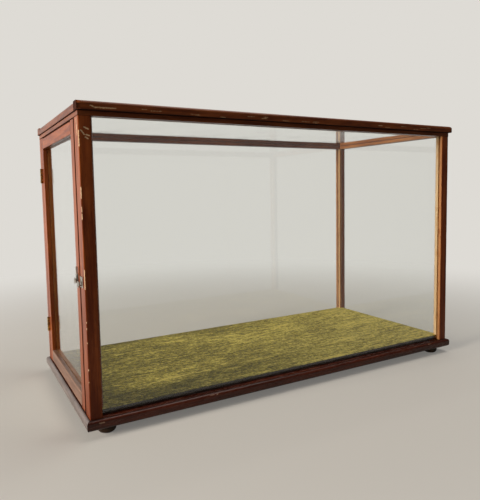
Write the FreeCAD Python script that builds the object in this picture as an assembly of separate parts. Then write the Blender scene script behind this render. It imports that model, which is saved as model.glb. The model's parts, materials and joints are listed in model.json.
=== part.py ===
# Counter-top display cabinet: mahogany posts and rails, glass on three sides and the top,
# a hinged glazed door as the left end, a velvet floor and turned feet.
# Millimetres. +X runs right along the front, +Y to the back, +Z up. The origin lies on the
# table under the middle of the whole cabinet, measured from the catch knob to the right moulding.
import FreeCAD, Part
import math
import os

from FreeCAD import Vector

# Case, measured over the outer faces of the corner posts
CASE_WIDTH = 712.0
CASE_DEPTH = 320.0
POST_HEIGHT = 406.0
POST_WIDTH = 17.0
POST_DEPTH = 17.0
CATCH_JAMB = 7.0  # extra depth of the front left post, beside the door
POST_TENON = 5.0
POST_TENON_INSET = 2.0
POST_TENON_LENGTH = 5.0

# Panes and what holds them
GLASS_THICK = 3.0
GLASS_LIP = 7.0  # wood outside a pane
GLASS_EDGE_CLEARANCE = 0.5
BASE_GROOVE_DEPTH = 2.5
RAIL_GROOVE_DEPTH = 3.5
BEAD_ROUND = 1.0

# Base, feet and floor
FOOT_HEIGHT = 12.0
FOOT_DIAMETER = 26.0
FOOT_FACE_DIAMETER = 15.0
FOOT_NECK_DIAMETER = 19.0
FOOT_SPIGOT_DIAMETER = 8.0
FOOT_SPIGOT_LENGTH = 9.0
FOOT_INSET_X = 26.0
FOOT_INSET_Y = 16.0
BASE_THICK = 14.5
BASE_MOULDING_PROUD = 5.5
BASE_MOULDING_ROUND = 4.5
BASE_MOULDING_QUIRK = 0.9
FLOOR_BOARD_THICK = 7.5
FLOOR_GAP = 0.3
VELVET_THICK = 1.2

# Top rails and the rim round the top pane
RAIL_HEIGHT = 7.0
RIM_HEIGHT = 12.0
RIM_PROUD = 4.5
RIM_DOOR_PROUD = 2.0  # at the door end, where the front and back lengths run through
RIM_INNER = 14.0  # from the posts' outer faces to the rim's inner edge
RIM_LAP = 6.0
RIM_ROUND = 4.5
RIM_LOWER_ROUND = 1.5
RIM_INNER_ROUND = 1.2

# Door
DOOR_THICK = 16.0
HINGE_GAP = 1.2  # between the hinge stile and its post
CLOSING_GAP = 4.0  # between the closing stile and its post
CLOSING_ROUND = 0.8  # on the outer arris of the closing stile
DOOR_SILL_GAP = 1.5
DOOR_HEAD_GAP = 1.0
CLOSING_STILE_WIDTH = 20.0
HINGE_STILE_WIDTH = 17.0
DOOR_TOP_RAIL_HEIGHT = 18.5
DOOR_BOTTOM_RAIL_HEIGHT = 20.0
DOOR_REBATE = 6.0
TENON_THICK = 5.0
TENON_LENGTH = 8.0
TENON_SHOULDER = 3.0
STOP_THICK = 5.0
STOP_LAP = 3.5

# Butt hinges
HINGE_INSET = 66.0  # from an end of the door to the middle of a butt
HINGE_LENGTH = 25.4
HINGE_LEAF_WIDTH = 8.0
HINGE_LEAF_THICK = 1.2
KNUCKLE_DIAMETER = 3.8
KNUCKLE_COUNT = 5
KNUCKLE_GAP = 0.3
HINGE_PIN_DIAMETER = 1.9
HINGE_PIN_HEAD_DIAMETER = 2.9
HINGE_PIN_HEAD_LENGTH = 0.9
HINGE_SCREW_SPACING = 15.0

# Catch: plate, knob and tongue on the door, keep on the post
CATCH_HEIGHT = 186.0  # above the ledge of the base
CATCH_PLATE_WIDTH = 10.0
CATCH_PLATE_HEIGHT = 20.0
CATCH_PLATE_THICK = 1.2
CATCH_PLATE_ROUND = 2.0
CATCH_SCREW_SPACING = 14.0
TONGUE_LENGTH = 20.0
TONGUE_WIDTH = 5.0
TONGUE_THICK = 1.6
TONGUE_HUB_DIAMETER = 7.4
SPINDLE_DIAMETER = 4.0
SPINDLE_DEPTH = 8.0
KNOB_DIAMETER = 9.0
KNOB_LENGTH = 2.8
KNOB_COLLAR_DIAMETER = 5.8
KNOB_COLLAR_LENGTH = 0.4
KNOB_NECK_DIAMETER = 4.0
KNOB_NECK_LENGTH = 0.6
KNOB_SHOULDER_LENGTH = 0.8
KEEP_WIDTH = 16.0
KEEP_EDGE = 1.5  # from the post's door side to the keep
KEEP_ABOVE = 8.5
KEEP_BELOW = 6.5
KEEP_HOOK_WIDTH = 8.0
KEEP_LIP = 1.5  # how far the hook rises past the tongue's middle
KEEP_CLEARANCE = 0.5
KEEP_SCREW_EDGE = 3.2

# Countersunk screws: head diameter, shank diameter, length
POST_SCREW = (7.0, 3.5, 34.0)
HINGE_SCREW = (4.2, 2.2, 10.0)
CATCH_SCREW = (3.4, 1.8, 7.0)
SLOT_WIDTH = 0.6
SLOT_DEPTH = 0.5

# Fits
GLUE_CLEARANCE = 0.05
RUNNING_CLEARANCE = 0.05
SLIDE_GAP = 0.1  # between the tongue and the plates that it turns over
CUT_OVERRUN = 1.0  # how far a cutting shape passes an open face

# Places worked out from the sizes above
TONGUE_INNER = CATCH_PLATE_THICK + SLIDE_GAP  # from the door's outer face
TONGUE_OUTER = TONGUE_INNER + TONGUE_THICK
KNOB_REACH = TONGUE_OUTER + KNOB_LENGTH
LEFT_X = (KNOB_REACH - CASE_WIDTH - max(BASE_MOULDING_PROUD, RIM_PROUD)) / 2
RIGHT_X = LEFT_X + CASE_WIDTH
FRONT_Y = -CASE_DEPTH / 2
BACK_Y = CASE_DEPTH / 2
BASE_BOTTOM = FOOT_HEIGHT
LEDGE = BASE_BOTTOM + BASE_THICK
POST_TOP = LEDGE + POST_HEIGHT
RAIL_TOP = POST_TOP + RAIL_HEIGHT
RIM_TOP = RAIL_TOP + RIM_HEIGHT
CORE = GLASS_LIP + GLASS_THICK  # from an outer face to the inner face of its pane
CATCH_POST_DEPTH = POST_DEPTH + CATCH_JAMB
FLOOR_TOP = LEDGE + FLOOR_BOARD_THICK
VELVET_TOP = FLOOR_TOP + VELVET_THICK
HINGE_POST_FACE = BACK_Y - POST_DEPTH
DOOR_FRONT = FRONT_Y + CATCH_POST_DEPTH + CLOSING_GAP
DOOR_BACK = HINGE_POST_FACE - HINGE_GAP
DOOR_BOTTOM = LEDGE + DOOR_SILL_GAP
DOOR_TOP = POST_TOP - DOOR_HEAD_GAP
DOOR_INSIDE = LEFT_X + DOOR_THICK
PANE_OUTSIDE = LEFT_X + GLASS_LIP
PANE_INSIDE = LEFT_X + CORE
HINGE_X = LEFT_X - KNUCKLE_DIAMETER / 2 - KNUCKLE_GAP
HINGE_Y = DOOR_BACK + HINGE_GAP / 2
HINGE_MIDDLES = {"lower": DOOR_BOTTOM + HINGE_INSET, "upper": DOOR_TOP - HINGE_INSET}
CATCH_Y = DOOR_FRONT + CLOSING_STILE_WIDTH / 2
CATCH_Z = LEDGE + CATCH_HEIGHT

UP = Vector(0, 0, 1)
WAY_IN = Vector(0, 1, 0)  # from the front to the back
WAY_OUT = Vector(-1, 0, 0)  # out of the door
DIAGONAL = math.sqrt(0.5)
CORNERS = {
    "front_left": (LEFT_X, FRONT_Y, 1, 1),
    "front_right": (RIGHT_X, FRONT_Y, -1, 1),
    "rear_left": (LEFT_X, BACK_Y, 1, -1),
    "rear_right": (RIGHT_X, BACK_Y, -1, -1),
}
# Each side: the outer corner where it starts, the way along it, the way in and its length
SIDES = {
    "front": (Vector(LEFT_X, FRONT_Y, 0), Vector(1, 0, 0), Vector(0, 1, 0), CASE_WIDTH),
    "right": (Vector(RIGHT_X, FRONT_Y, 0), Vector(0, 1, 0), Vector(-1, 0, 0), CASE_DEPTH),
    "back": (Vector(RIGHT_X, BACK_Y, 0), Vector(-1, 0, 0), Vector(0, -1, 0), CASE_WIDTH),
    "left": (Vector(LEFT_X, BACK_Y, 0), Vector(0, -1, 0), Vector(1, 0, 0), CASE_DEPTH),
}
GLAZED_SIDES = ("front", "right", "back")

os.makedirs("parts", exist_ok=True)


# Shapes that several pieces share
def box(x0, x1, y0, y1, z0, z1):
    return Part.makeBox(x1 - x0, y1 - y0, z1 - z0, Vector(x0, y0, z0))


def prism(points, way):
    return Part.Face(Part.makePolygon(points + points[:1])).extrude(way)


def arc(centre_a, centre_b, radius, start, end):
    """Rounding for an outline: the middle and the end of an arc, with its angles in degrees."""
    angles = (math.radians((start + end) / 2), math.radians(end))
    return tuple((centre_a + radius * math.cos(a), centre_b + radius * math.sin(a)) for a in angles)


def dome(radius, base, top):
    """Top of a turned outline: the middle and the end of an arc centred on the axis."""
    rise = top - base
    ball = (radius ** 2 + rise ** 2) / (2 * rise)
    half_angle = math.atan2(radius, ball - rise) / 2
    return (ball * math.sin(half_angle), top - ball + ball * math.cos(half_angle)), (0, top)


def outline(points, place):
    """Face inside flat points that place sets in space; a pair of points is an arc's middle and end."""
    last = points[-1]
    here = place(*(last[1] if isinstance(last[0], tuple) else last))
    edges = []
    for point in points:
        if isinstance(point[0], tuple):
            end = place(*point[1])
            edges.append(Part.Arc(here, place(*point[0]), end).toShape())
        else:
            end = place(*point)
            edges.append(Part.LineSegment(here, end).toShape())
        here = end
    return Part.Face(Part.Wire(edges))


def turned(points):
    """Solid turned about Z from an outline of radius and height."""
    return outline(points, lambda radius, height: Vector(radius, 0, height)).revolve(Vector(), UP, 360)


def placed(solid, point, axis):
    """The solid with its Z axis turned to the given axis, moved to the point."""
    solid.Placement = FreeCAD.Placement(point, FreeCAD.Rotation(UP, axis))
    return solid


def one_solid(shape):
    return shape.removeSplitter().Solids[0]


def save(name, *solids):
    shape = solids[0] if len(solids) == 1 else Part.makeCompound(list(solids))
    shape.exportStep("parts/%s.step" % name)


def corner_point(corner, inward_x, inward_y, z):
    x, y, way_x, way_y = CORNERS[corner]
    return Vector(x + way_x * inward_x, y + way_y * inward_y, z)


def corner_prism(corner, points, z0, z1):
    """Upright prism on an outline measured inwards from a corner of the case."""
    return outline(points, lambda a, b: corner_point(corner, a, b, z0)).extrude(UP * (z1 - z0))


def square(start, size):
    return [(start, start), (start + size, start), (start + size, start + size), (start, start + size)]


def side_point(side, along, inward, z):
    start, way_along, way_in, length = SIDES[side]
    return start + way_along * along + way_in * inward + UP * z


def side_prism(side, plan, z0, z1):
    """Upright prism on a plan measured along a side and inwards from the posts' outer faces."""
    return prism([side_point(side, along, inward, z0) for along, inward in plan], UP * (z1 - z0))


def side_box(side, end_gap, inward0, inward1, z0, z1):
    """Upright slab along a side, the same distance from both of its ends."""
    far = SIDES[side][3] - end_gap
    plan = [(end_gap, inward0), (far, inward0), (far, inward1), (end_gap, inward1)]
    return side_prism(side, plan, z0, z1)


def mitred(side, outer, inner, end_inner):
    """Plan of a length along a side with mitred ends, between two distances inwards."""
    length = SIDES[side][3]
    return [(outer, outer), (length - outer, outer), (length - end_inner, inner), (end_inner, inner)]


def moulding(side, plan, points, z0, z1):
    """Length of a moulding whose outline is given inwards and upwards, its ends cut to a plan."""
    places = [along for along, inward in plan]
    section = outline(points, lambda inward, z: side_point(side, min(places), inward, z))
    bar = section.extrude(SIDES[side][1] * (max(places) - min(places)))
    return one_solid(bar.common(side_prism(side, plan, z0, z1)))


# Countersunk slotted screws and the holes that take them
def screw_outline(size, clearance):
    head, shank, length = size
    head_radius = head / 2 + clearance
    shank_radius = shank / 2 + clearance
    return [
        (0, 0),
        (head_radius, 0),
        (shank_radius, shank_radius - head_radius),
        (shank_radius, shank_radius - length),
        (0, -length - clearance),
    ]


def screw(size, point, outward):
    head = size[0]
    slot = box(-head, head, -SLOT_WIDTH / 2, SLOT_WIDTH / 2, -SLOT_DEPTH, SLOT_DEPTH)
    return placed(turned(screw_outline(size, 0)).cut(slot).Solids[0], point, outward)


def screw_hole(size, point, outward):
    return placed(turned(screw_outline(size, GLUE_CLEARANCE)), point, outward)


post_screw_places = [corner_point(corner, CORE / 2, CORE / 2, BASE_BOTTOM) for corner in CORNERS]
post_screw_holes = [screw_hole(POST_SCREW, point, -UP) for point in post_screw_places]
save("post_screws", *[screw(POST_SCREW, point, -UP) for point in post_screw_places])


# Base board, with grooves for the fixed panes that meet under the posts, and a hole for each foot's spigot
def spigot_hole(corner):
    centre = corner_point(corner, FOOT_INSET_X, FOOT_INSET_Y, BASE_BOTTOM - CUT_OVERRUN)
    depth = FOOT_SPIGOT_LENGTH + GLUE_CLEARANCE + CUT_OVERRUN
    return Part.makeCylinder(FOOT_SPIGOT_DIAMETER / 2 + GLUE_CLEARANCE, depth, centre)


base_cuts = [
    side_box(side, GLASS_LIP, GLASS_LIP, CORE, LEDGE - BASE_GROOVE_DEPTH, LEDGE + CUT_OVERRUN)
    for side in GLAZED_SIDES
]
base_cuts += [spigot_hole(corner) for corner in CORNERS]
base_board = box(LEFT_X, RIGHT_X, FRONT_Y, BACK_Y, BASE_BOTTOM, LEDGE)
save("base_board", one_solid(base_board.cut(base_cuts + post_screw_holes)))

# Half-round moulding planted on the edges of the base board, with a quirk along the joint
base_nose = min(
    BASE_MOULDING_ROUND, BASE_MOULDING_PROUD - BASE_MOULDING_QUIRK, (BASE_THICK - BASE_MOULDING_QUIRK) / 2
)
base_nose_centre = base_nose - BASE_MOULDING_PROUD
base_moulding_outline = [
    (0, BASE_BOTTOM),
    (0, LEDGE - BASE_MOULDING_QUIRK),
    (-BASE_MOULDING_QUIRK, LEDGE),
    (base_nose_centre, LEDGE),
    arc(base_nose_centre, LEDGE - base_nose, base_nose, 90, 180),
    (-BASE_MOULDING_PROUD, BASE_BOTTOM + base_nose),
    arc(base_nose_centre, BASE_BOTTOM + base_nose, base_nose, 180, 270),
]
for side in SIDES:
    base_moulding_plan = mitred(side, -BASE_MOULDING_PROUD, 0, 0)
    length_of_moulding = moulding(side, base_moulding_plan, base_moulding_outline, BASE_BOTTOM, LEDGE)
    save("base_moulding_" + side, length_of_moulding)

# Turned bun feet, each glued into the base board by its spigot
foot_outline = [
    (0, 0),
    (FOOT_FACE_DIAMETER / 2, 0),
    ((FOOT_DIAMETER / 2, FOOT_HEIGHT / 2), (FOOT_NECK_DIAMETER / 2, FOOT_HEIGHT)),
    (FOOT_SPIGOT_DIAMETER / 2, FOOT_HEIGHT),
    (FOOT_SPIGOT_DIAMETER / 2, FOOT_HEIGHT + FOOT_SPIGOT_LENGTH),
    (0, FOOT_HEIGHT + FOOT_SPIGOT_LENGTH),
]
for corner in CORNERS:
    foot_point = corner_point(corner, FOOT_INSET_X, FOOT_INSET_Y, 0)
    save("foot_" + corner, placed(turned(foot_outline), foot_point, UP))

# Floor board between the panes, clear of the corner beads, and the velvet that covers it
floor_left = LEFT_X + POST_WIDTH + FLOOR_GAP
floor_right = RIGHT_X - CORE - FLOOR_GAP
floor_notch = RIGHT_X - POST_WIDTH - FLOOR_GAP
floor_depth = CASE_DEPTH / 2 - CORE - FLOOR_GAP
floor_notch_depth = CASE_DEPTH / 2 - POST_DEPTH - FLOOR_GAP
floor_plan = [
    (floor_left, -floor_depth),
    (floor_notch, -floor_depth),
    (floor_notch, -floor_notch_depth),
    (floor_right, -floor_notch_depth),
    (floor_right, floor_notch_depth),
    (floor_notch, floor_notch_depth),
    (floor_notch, floor_depth),
    (floor_left, floor_depth),
]
save("floor_board", prism([Vector(x, y, LEDGE) for x, y in floor_plan], UP * FLOOR_BOARD_THICK))
save("floor_velvet", prism([Vector(x, y, FLOOR_TOP) for x, y in floor_plan], UP * VELVET_THICK))

# Corner posts: a lip outside each pane, a solid core, and a stub tenon into the mitred rails above
post_lip = [(0, 0), (POST_WIDTH, 0), (POST_WIDTH, GLASS_LIP), (CORE, GLASS_LIP)]
two_pane_post = post_lip + [(CORE, CORE), (GLASS_LIP, CORE), (GLASS_LIP, POST_DEPTH), (0, POST_DEPTH)]
hinge_post = post_lip + [(CORE, POST_DEPTH), (0, POST_DEPTH)]
catch_post = post_lip + [
    (CORE, POST_DEPTH),
    (POST_WIDTH, POST_DEPTH),
    (POST_WIDTH, CATCH_POST_DEPTH),
    (0, CATCH_POST_DEPTH),
]
post_outlines = {
    "front_left": catch_post,
    "front_right": two_pane_post,
    "rear_left": hinge_post,
    "rear_right": two_pane_post,
}

# Butt hinges: the post leaf carries the outer and middle knuckles, the door leaf those between
hinge_pitch = (HINGE_LENGTH + KNUCKLE_GAP) / KNUCKLE_COUNT


def hinge_screw_points(middle, y):
    x = LEFT_X + HINGE_LEAF_WIDTH / 2
    return [Vector(x, y, middle + way * HINGE_SCREW_SPACING / 2) for way in (-1, 1)]


def hinge_leaf(middle, y0, knuckles, screw_cuts):
    bottom = middle - HINGE_LENGTH / 2
    y1 = y0 + HINGE_LEAF_THICK
    leaf = box(LEFT_X, LEFT_X + HINGE_LEAF_WIDTH, y0, y1, bottom, bottom + HINGE_LENGTH)
    for index in knuckles:
        z0 = bottom + index * hinge_pitch
        height = hinge_pitch - KNUCKLE_GAP
        knuckle = Part.makeCylinder(KNUCKLE_DIAMETER / 2, height, Vector(HINGE_X, HINGE_Y, z0))
        leaf = leaf.fuse([knuckle, box(HINGE_X, LEFT_X, y0, y1, z0, z0 + height)])
    bore_radius = HINGE_PIN_DIAMETER / 2 + RUNNING_CLEARANCE
    bore = Part.makeCylinder(bore_radius, HINGE_LENGTH, Vector(HINGE_X, HINGE_Y, bottom))
    return one_solid(leaf.cut([bore] + screw_cuts))


def hinge_recess(middle, y0):
    """Mortise for one leaf, open at the outer face and at the edge that the leaf lies in."""
    half = HINGE_LENGTH / 2 + GLUE_CLEARANCE
    x1 = LEFT_X + HINGE_LEAF_WIDTH + GLUE_CLEARANCE
    return box(LEFT_X - CUT_OVERRUN, x1, y0, y0 + HINGE_LEAF_THICK, middle - half, middle + half)


hinge_post_cuts, hinge_stile_cuts = [], []
post_leaf_screws, door_leaf_screws = [], []
for place, middle in HINGE_MIDDLES.items():
    post_points = hinge_screw_points(middle, HINGE_POST_FACE)
    door_points = hinge_screw_points(middle, DOOR_BACK)
    post_holes = [screw_hole(HINGE_SCREW, point, -WAY_IN) for point in post_points]
    door_holes = [screw_hole(HINGE_SCREW, point, WAY_IN) for point in door_points]
    post_leaf_screws += [screw(HINGE_SCREW, point, -WAY_IN) for point in post_points]
    door_leaf_screws += [screw(HINGE_SCREW, point, WAY_IN) for point in door_points]
    door_leaf_y = DOOR_BACK - HINGE_LEAF_THICK
    hinge_post_cuts += [hinge_recess(middle, HINGE_POST_FACE)] + post_holes
    hinge_stile_cuts += [hinge_recess(middle, door_leaf_y)] + door_holes
    post_leaf = hinge_leaf(middle, HINGE_POST_FACE, range(0, KNUCKLE_COUNT, 2), post_holes)
    door_leaf = hinge_leaf(middle, door_leaf_y, range(1, KNUCKLE_COUNT, 2), door_holes)
    save("hinge_%s_post_leaf" % place, post_leaf)
    save("hinge_%s_door_leaf" % place, door_leaf)
    pin_outline = [
        (0, -HINGE_PIN_HEAD_LENGTH),
        (HINGE_PIN_HEAD_DIAMETER / 2, 0),
        (HINGE_PIN_DIAMETER / 2, 0),
        (HINGE_PIN_DIAMETER / 2, HINGE_LENGTH),
        (HINGE_PIN_HEAD_DIAMETER / 2, HINGE_LENGTH),
        (0, HINGE_LENGTH + HINGE_PIN_HEAD_LENGTH),
    ]
    pin_foot = Vector(HINGE_X, HINGE_Y, middle - HINGE_LENGTH / 2)
    save("hinge_%s_pin" % place, placed(turned(pin_outline), pin_foot, UP))
save("hinge_post_screws", *post_leaf_screws)
save("hinge_door_screws", *door_leaf_screws)

# Keep of the catch: a plate on the post with a hook that the tongue drops into
keep_y1 = FRONT_Y + CATCH_POST_DEPTH - KEEP_EDGE
keep_y0 = keep_y1 - KEEP_WIDTH
keep_face = LEFT_X - CATCH_PLATE_THICK
shelf_top = CATCH_Z - TONGUE_WIDTH / 2 - KEEP_CLEARANCE
shelf_bottom = shelf_top - CATCH_PLATE_THICK
hook_inside = LEFT_X - TONGUE_OUTER - KEEP_CLEARANCE
hook_outside = hook_inside - CATCH_PLATE_THICK
hook_y0 = keep_y1 - KEEP_HOOK_WIDTH
keep_plate = box(keep_face, LEFT_X, keep_y0, keep_y1, CATCH_Z - KEEP_BELOW, CATCH_Z + KEEP_ABOVE)
keep_shelf = box(hook_outside, LEFT_X, hook_y0, keep_y1, shelf_bottom, shelf_top)
keep_hook = box(hook_outside, hook_inside, hook_y0, keep_y1, shelf_bottom, CATCH_Z + KEEP_LIP)
keep_screw_heights = (CATCH_Z - KEEP_BELOW + KEEP_SCREW_EDGE, CATCH_Z + KEEP_ABOVE - KEEP_SCREW_EDGE)
keep_screw_places = [Vector(keep_face, (keep_y0 + hook_y0) / 2, z) for z in keep_screw_heights]
keep_holes = [screw_hole(CATCH_SCREW, point, WAY_OUT) for point in keep_screw_places]
save("catch_keep", one_solid(keep_plate.fuse([keep_shelf, keep_hook]).cut(keep_holes)))
save("catch_keep_screws", *[screw(CATCH_SCREW, point, WAY_OUT) for point in keep_screw_places])

post_cuts = {"front_left": keep_holes, "rear_left": hinge_post_cuts}
tenon_plan = square(POST_TENON_INSET, POST_TENON)
for corner, points in post_outlines.items():
    tenon = corner_prism(corner, tenon_plan, POST_TOP, POST_TOP + POST_TENON_LENGTH)
    post = corner_prism(corner, points, LEDGE, POST_TOP).fuse(tenon)
    save("post_" + corner, one_solid(post.cut(post_screw_holes + post_cuts.get(corner, []))))

# Corner beads that hold the panes in the posts
bead_round = min(BEAD_ROUND, POST_WIDTH - CORE - GLUE_CLEARANCE, POST_DEPTH - CORE - GLUE_CLEARANCE)
corner_bead_outline = [
    (CORE, CORE),
    (POST_WIDTH, CORE),
    (POST_WIDTH, POST_DEPTH - bead_round),
    arc(POST_WIDTH - bead_round, POST_DEPTH - bead_round, bead_round, 0, 90),
    (CORE, POST_DEPTH),
]
for corner in CORNERS:
    save("corner_bead_" + corner, corner_prism(corner, corner_bead_outline, LEDGE, POST_TOP))

# Fixed panes, standing in the groove of the base and reaching into the groove of the rail above
pane_bottom = LEDGE - BASE_GROOVE_DEPTH
rail_groove_top = POST_TOP + RAIL_GROOVE_DEPTH
pane_top = rail_groove_top - GLASS_EDGE_CLEARANCE
pane_end = CORE + GLASS_EDGE_CLEARANCE
for side in GLAZED_SIDES:
    save("glass_" + side, side_box(side, pane_end, GLASS_LIP, CORE, pane_bottom, pane_top))

# Mitred top rails on the posts, mortised for their tenons
mortise_plan = square(POST_TENON_INSET - GLUE_CLEARANCE, POST_TENON + 2 * GLUE_CLEARANCE)
mortise_top = POST_TOP + POST_TENON_LENGTH + GLUE_CLEARANCE
rail_cuts = [corner_prism(corner, mortise_plan, POST_TOP - CUT_OVERRUN, mortise_top) for corner in CORNERS]
for side in GLAZED_SIDES:
    rail_cuts.append(side_box(side, CORE, GLASS_LIP, CORE, POST_TOP - CUT_OVERRUN, rail_groove_top))
rail_widths = {"front": POST_DEPTH, "right": POST_WIDTH, "back": POST_DEPTH, "left": POST_WIDTH}
for side, width in rail_widths.items():
    end_width = POST_WIDTH + POST_DEPTH - width
    rail = side_prism(side, mitred(side, 0, width, end_width), POST_TOP, RAIL_TOP)
    save("top_rail_" + side, one_solid(rail.cut(rail_cuts)))

# Top pane lying on the rails, and the rounded rim that is planted over its edges. The rim is mitred
# at the right; at the door end the front and back lengths run through with square ends.
rim_rebate = RIM_INNER - RIM_LAP
pane_inset = rim_rebate + GLASS_EDGE_CLEARANCE
pane_face = RAIL_TOP + GLASS_THICK
top_pane = box(
    LEFT_X + pane_inset, RIGHT_X - pane_inset, FRONT_Y + pane_inset, BACK_Y - pane_inset,
    RAIL_TOP, pane_face,
)
save("glass_top", top_pane)
rim_inner_round = min(RIM_INNER_ROUND, (RIM_HEIGHT - GLASS_THICK) / 2)
rim_nose = min(RIM_ROUND, (RIM_HEIGHT - rim_inner_round) / 2)


def rim_outline(proud):
    nose_centre = rim_nose - proud
    lower_centre = RIM_LOWER_ROUND - proud
    return [
        (rim_rebate, RAIL_TOP),
        (rim_rebate, pane_face),
        (RIM_INNER, pane_face),
        (RIM_INNER, RIM_TOP - rim_inner_round),
        arc(RIM_INNER - rim_inner_round, RIM_TOP - rim_inner_round, rim_inner_round, 0, 90),
        (nose_centre, RIM_TOP),
        arc(nose_centre, RIM_TOP - rim_nose, rim_nose, 90, 180),
        (-proud, RAIL_TOP + RIM_LOWER_ROUND),
        arc(lower_centre, RAIL_TOP + RIM_LOWER_ROUND, RIM_LOWER_ROUND, 180, 270),
    ]


front_rim_plan = [
    (-RIM_DOOR_PROUD, -RIM_PROUD),
    (CASE_WIDTH + RIM_PROUD, -RIM_PROUD),
    (CASE_WIDTH - RIM_INNER, RIM_INNER),
    (-RIM_DOOR_PROUD, RIM_INNER),
]
front_rim_block = [
    (-RIM_DOOR_PROUD, rim_rebate),
    (rim_rebate, rim_rebate),
    (rim_rebate, RIM_INNER),
    (-RIM_DOOR_PROUD, RIM_INNER),
]
through_rims = {
    "front": (front_rim_plan, front_rim_block),
    "back": tuple(
        [(CASE_WIDTH - along, inward) for along, inward in plan] for plan in (front_rim_plan, front_rim_block)
    ),
}
for side, (plan, block) in through_rims.items():
    length_of_rim = moulding(side, plan, rim_outline(RIM_PROUD), RAIL_TOP, RIM_TOP)
    # The rebate stops short of the square end, so that the length across the door butts on solid wood
    rebate_stop = side_prism(side, block, RAIL_TOP, pane_face)
    save("top_rim_" + side, one_solid(length_of_rim.fuse(rebate_stop)))
right_rim_plan = mitred("right", -RIM_PROUD, RIM_INNER, RIM_INNER)
save("top_rim_right", moulding("right", right_rim_plan, rim_outline(RIM_PROUD), RAIL_TOP, RIM_TOP))
left_rim_plan = [
    (RIM_INNER, -RIM_DOOR_PROUD),
    (CASE_DEPTH - RIM_INNER, -RIM_DOOR_PROUD),
    (CASE_DEPTH - RIM_INNER, RIM_INNER),
    (RIM_INNER, RIM_INNER),
]
save("top_rim_left", moulding("left", left_rim_plan, rim_outline(RIM_DOOR_PROUD), RAIL_TOP, RIM_TOP))

# Door stop on the inner side of the catch post, behind the closing stile
stop_back = DOOR_FRONT + STOP_LAP
stop_x = LEFT_X + POST_WIDTH
stop_bottom = VELVET_TOP + FLOOR_GAP
door_stop = box(stop_x, stop_x + STOP_THICK, FRONT_Y + POST_DEPTH, stop_back, stop_bottom, POST_TOP)
save("door_stop", door_stop)

# Door frame. Sight lines bound the glass as seen from outside; rebates lie behind them.
sight_front = DOOR_FRONT + CLOSING_STILE_WIDTH
sight_back = DOOR_BACK - HINGE_STILE_WIDTH
sight_bottom = DOOR_BOTTOM + DOOR_BOTTOM_RAIL_HEIGHT
sight_top = DOOR_TOP - DOOR_TOP_RAIL_HEIGHT
rebate_front = sight_front - DOOR_REBATE
rebate_back = sight_back + DOOR_REBATE
rebate_bottom = sight_bottom - DOOR_REBATE
rebate_top = sight_top + DOOR_REBATE
tenon_x0 = (PANE_OUTSIDE + DOOR_INSIDE - TENON_THICK) / 2
tenon_x1 = tenon_x0 + TENON_THICK


def door_rail(sight0, sight1, rebate0, rebate1, tenon0, tenon1):
    """Rail with a lip between the sight lines, a longer back between the rebates, and its tenons."""
    lip = box(LEFT_X, PANE_OUTSIDE, sight_front, sight_back, sight0, sight1)
    back = box(PANE_OUTSIDE, DOOR_INSIDE, rebate_front, rebate_back, rebate0, rebate1)
    tenon_y0, tenon_y1 = rebate_front - TENON_LENGTH, rebate_back + TENON_LENGTH
    tenon = box(tenon_x0, tenon_x1, tenon_y0, tenon_y1, tenon0, tenon1)
    return one_solid(lip.fuse([back, tenon]))


def tenon_mortises(tenon0, tenon1):
    reach = TENON_LENGTH + GLUE_CLEARANCE
    slots = ((rebate_front - reach, rebate_front), (rebate_back, rebate_back + reach))
    x0, x1 = tenon_x0 - GLUE_CLEARANCE, tenon_x1 + GLUE_CLEARANCE
    return [box(x0, x1, y0, y1, tenon0 - GLUE_CLEARANCE, tenon1 + GLUE_CLEARANCE) for y0, y1 in slots]


bottom_tenon = (DOOR_BOTTOM + TENON_SHOULDER, rebate_bottom)
top_tenon = (rebate_top, DOOR_TOP - TENON_SHOULDER)
door_mortises = tenon_mortises(*bottom_tenon) + tenon_mortises(*top_tenon)
save("door_rail_bottom", door_rail(DOOR_BOTTOM, sight_bottom, DOOR_BOTTOM, rebate_bottom, *bottom_tenon))
save("door_rail_top", door_rail(sight_top, DOOR_TOP, rebate_top, DOOR_TOP, *top_tenon))

# Catch on the closing stile: plate, knob with its spindle, and tongue
catch_middle = Vector(LEFT_X, CATCH_Y, CATCH_Z)
plate_face = LEFT_X - CATCH_PLATE_THICK
plate_screw_places = [
    Vector(plate_face, CATCH_Y, CATCH_Z + way * CATCH_SCREW_SPACING / 2) for way in (-1, 1)
]
plate_holes = [screw_hole(CATCH_SCREW, point, WAY_OUT) for point in plate_screw_places]
spindle_hole = Part.makeCylinder(
    SPINDLE_DIAMETER / 2 + RUNNING_CLEARANCE,
    SPINDLE_DEPTH + RUNNING_CLEARANCE + CATCH_PLATE_THICK + CUT_OVERRUN,
    catch_middle - WAY_OUT * (SPINDLE_DEPTH + RUNNING_CLEARANCE),
    WAY_OUT,
)
half_width = CATCH_PLATE_WIDTH / 2
half_height = CATCH_PLATE_HEIGHT / 2
plate = box(
    plate_face, LEFT_X,
    CATCH_Y - half_width, CATCH_Y + half_width,
    CATCH_Z - half_height, CATCH_Z + half_height,
)
plate_corners = [edge for edge in plate.Edges if abs(edge.tangentAt(0).x) > DIAGONAL]
plate = plate.makeFillet(CATCH_PLATE_ROUND, plate_corners)
save("catch_plate", one_solid(plate.cut([spindle_hole] + plate_holes)))
save("catch_plate_screws", *[screw(CATCH_SCREW, point, WAY_OUT) for point in plate_screw_places])

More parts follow.
